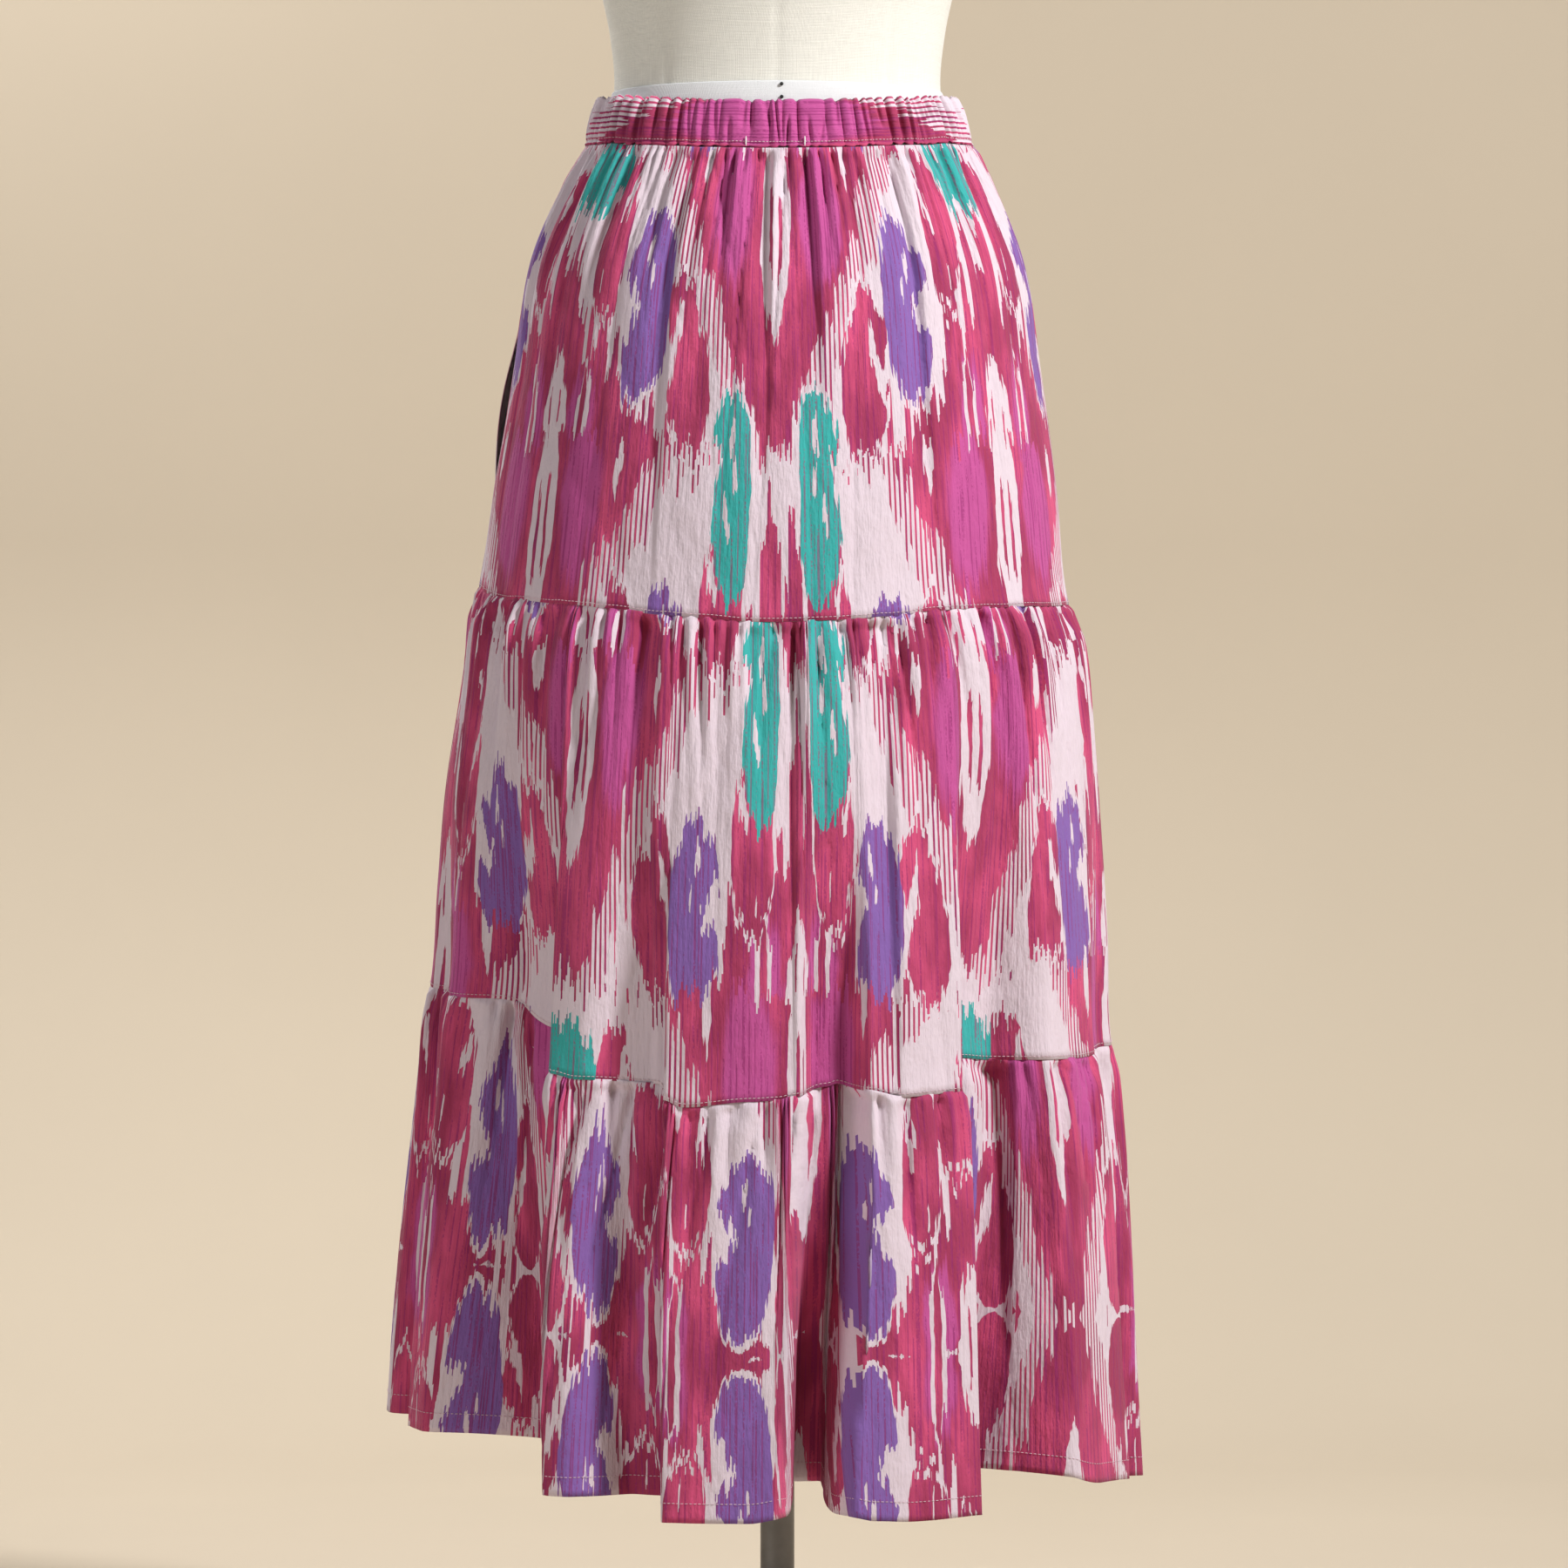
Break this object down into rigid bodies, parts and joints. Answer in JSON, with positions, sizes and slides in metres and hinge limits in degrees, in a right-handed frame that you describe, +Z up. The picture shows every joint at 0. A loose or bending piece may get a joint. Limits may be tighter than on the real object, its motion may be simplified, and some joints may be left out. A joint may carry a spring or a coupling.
{
  "type": "tiered boho skirt on a dress form",
  "caption": "Long tiered boho skirt with a gathered elastic waistband, an in-seam pocket and an ikat print, worn on a limbless dress form on a pole stand.",
  "frame": {"origin": "centre of the flat underside of the stand's base, on the floor", "axes": "+Z up along the pole; -Y is the side of the skirt and form that faces the viewer; +X is to that viewer's right"},
  "size_m": [0.5321, 0.4761, 1.593],
  "materials": {
    "cotton": "light crinkled cotton with a raspberry, pink, purple and teal ikat print",
    "band_cotton": "the same cotton cut across, gathered on elastic",
    "linen": "cream linen cover, plain weave",
    "white_tape": "white cotton tape",
    "steel": "grey satin metal"
  },
  "bodies": {
    "root": {"waistband": "band_cotton", "upper_tier_front": "cotton", "upper_tier_back": "cotton", "middle_tier_front": "cotton", "middle_tier_back": "cotton", "lower_tier_front": "cotton", "lower_tier_back": "cotton", "pocket_bag": "cotton", "dress_form": "linen", "waist_tape": "white_tape", "stand_pole": "steel", "stand_base": "steel"}
  },
  "joints": []
}
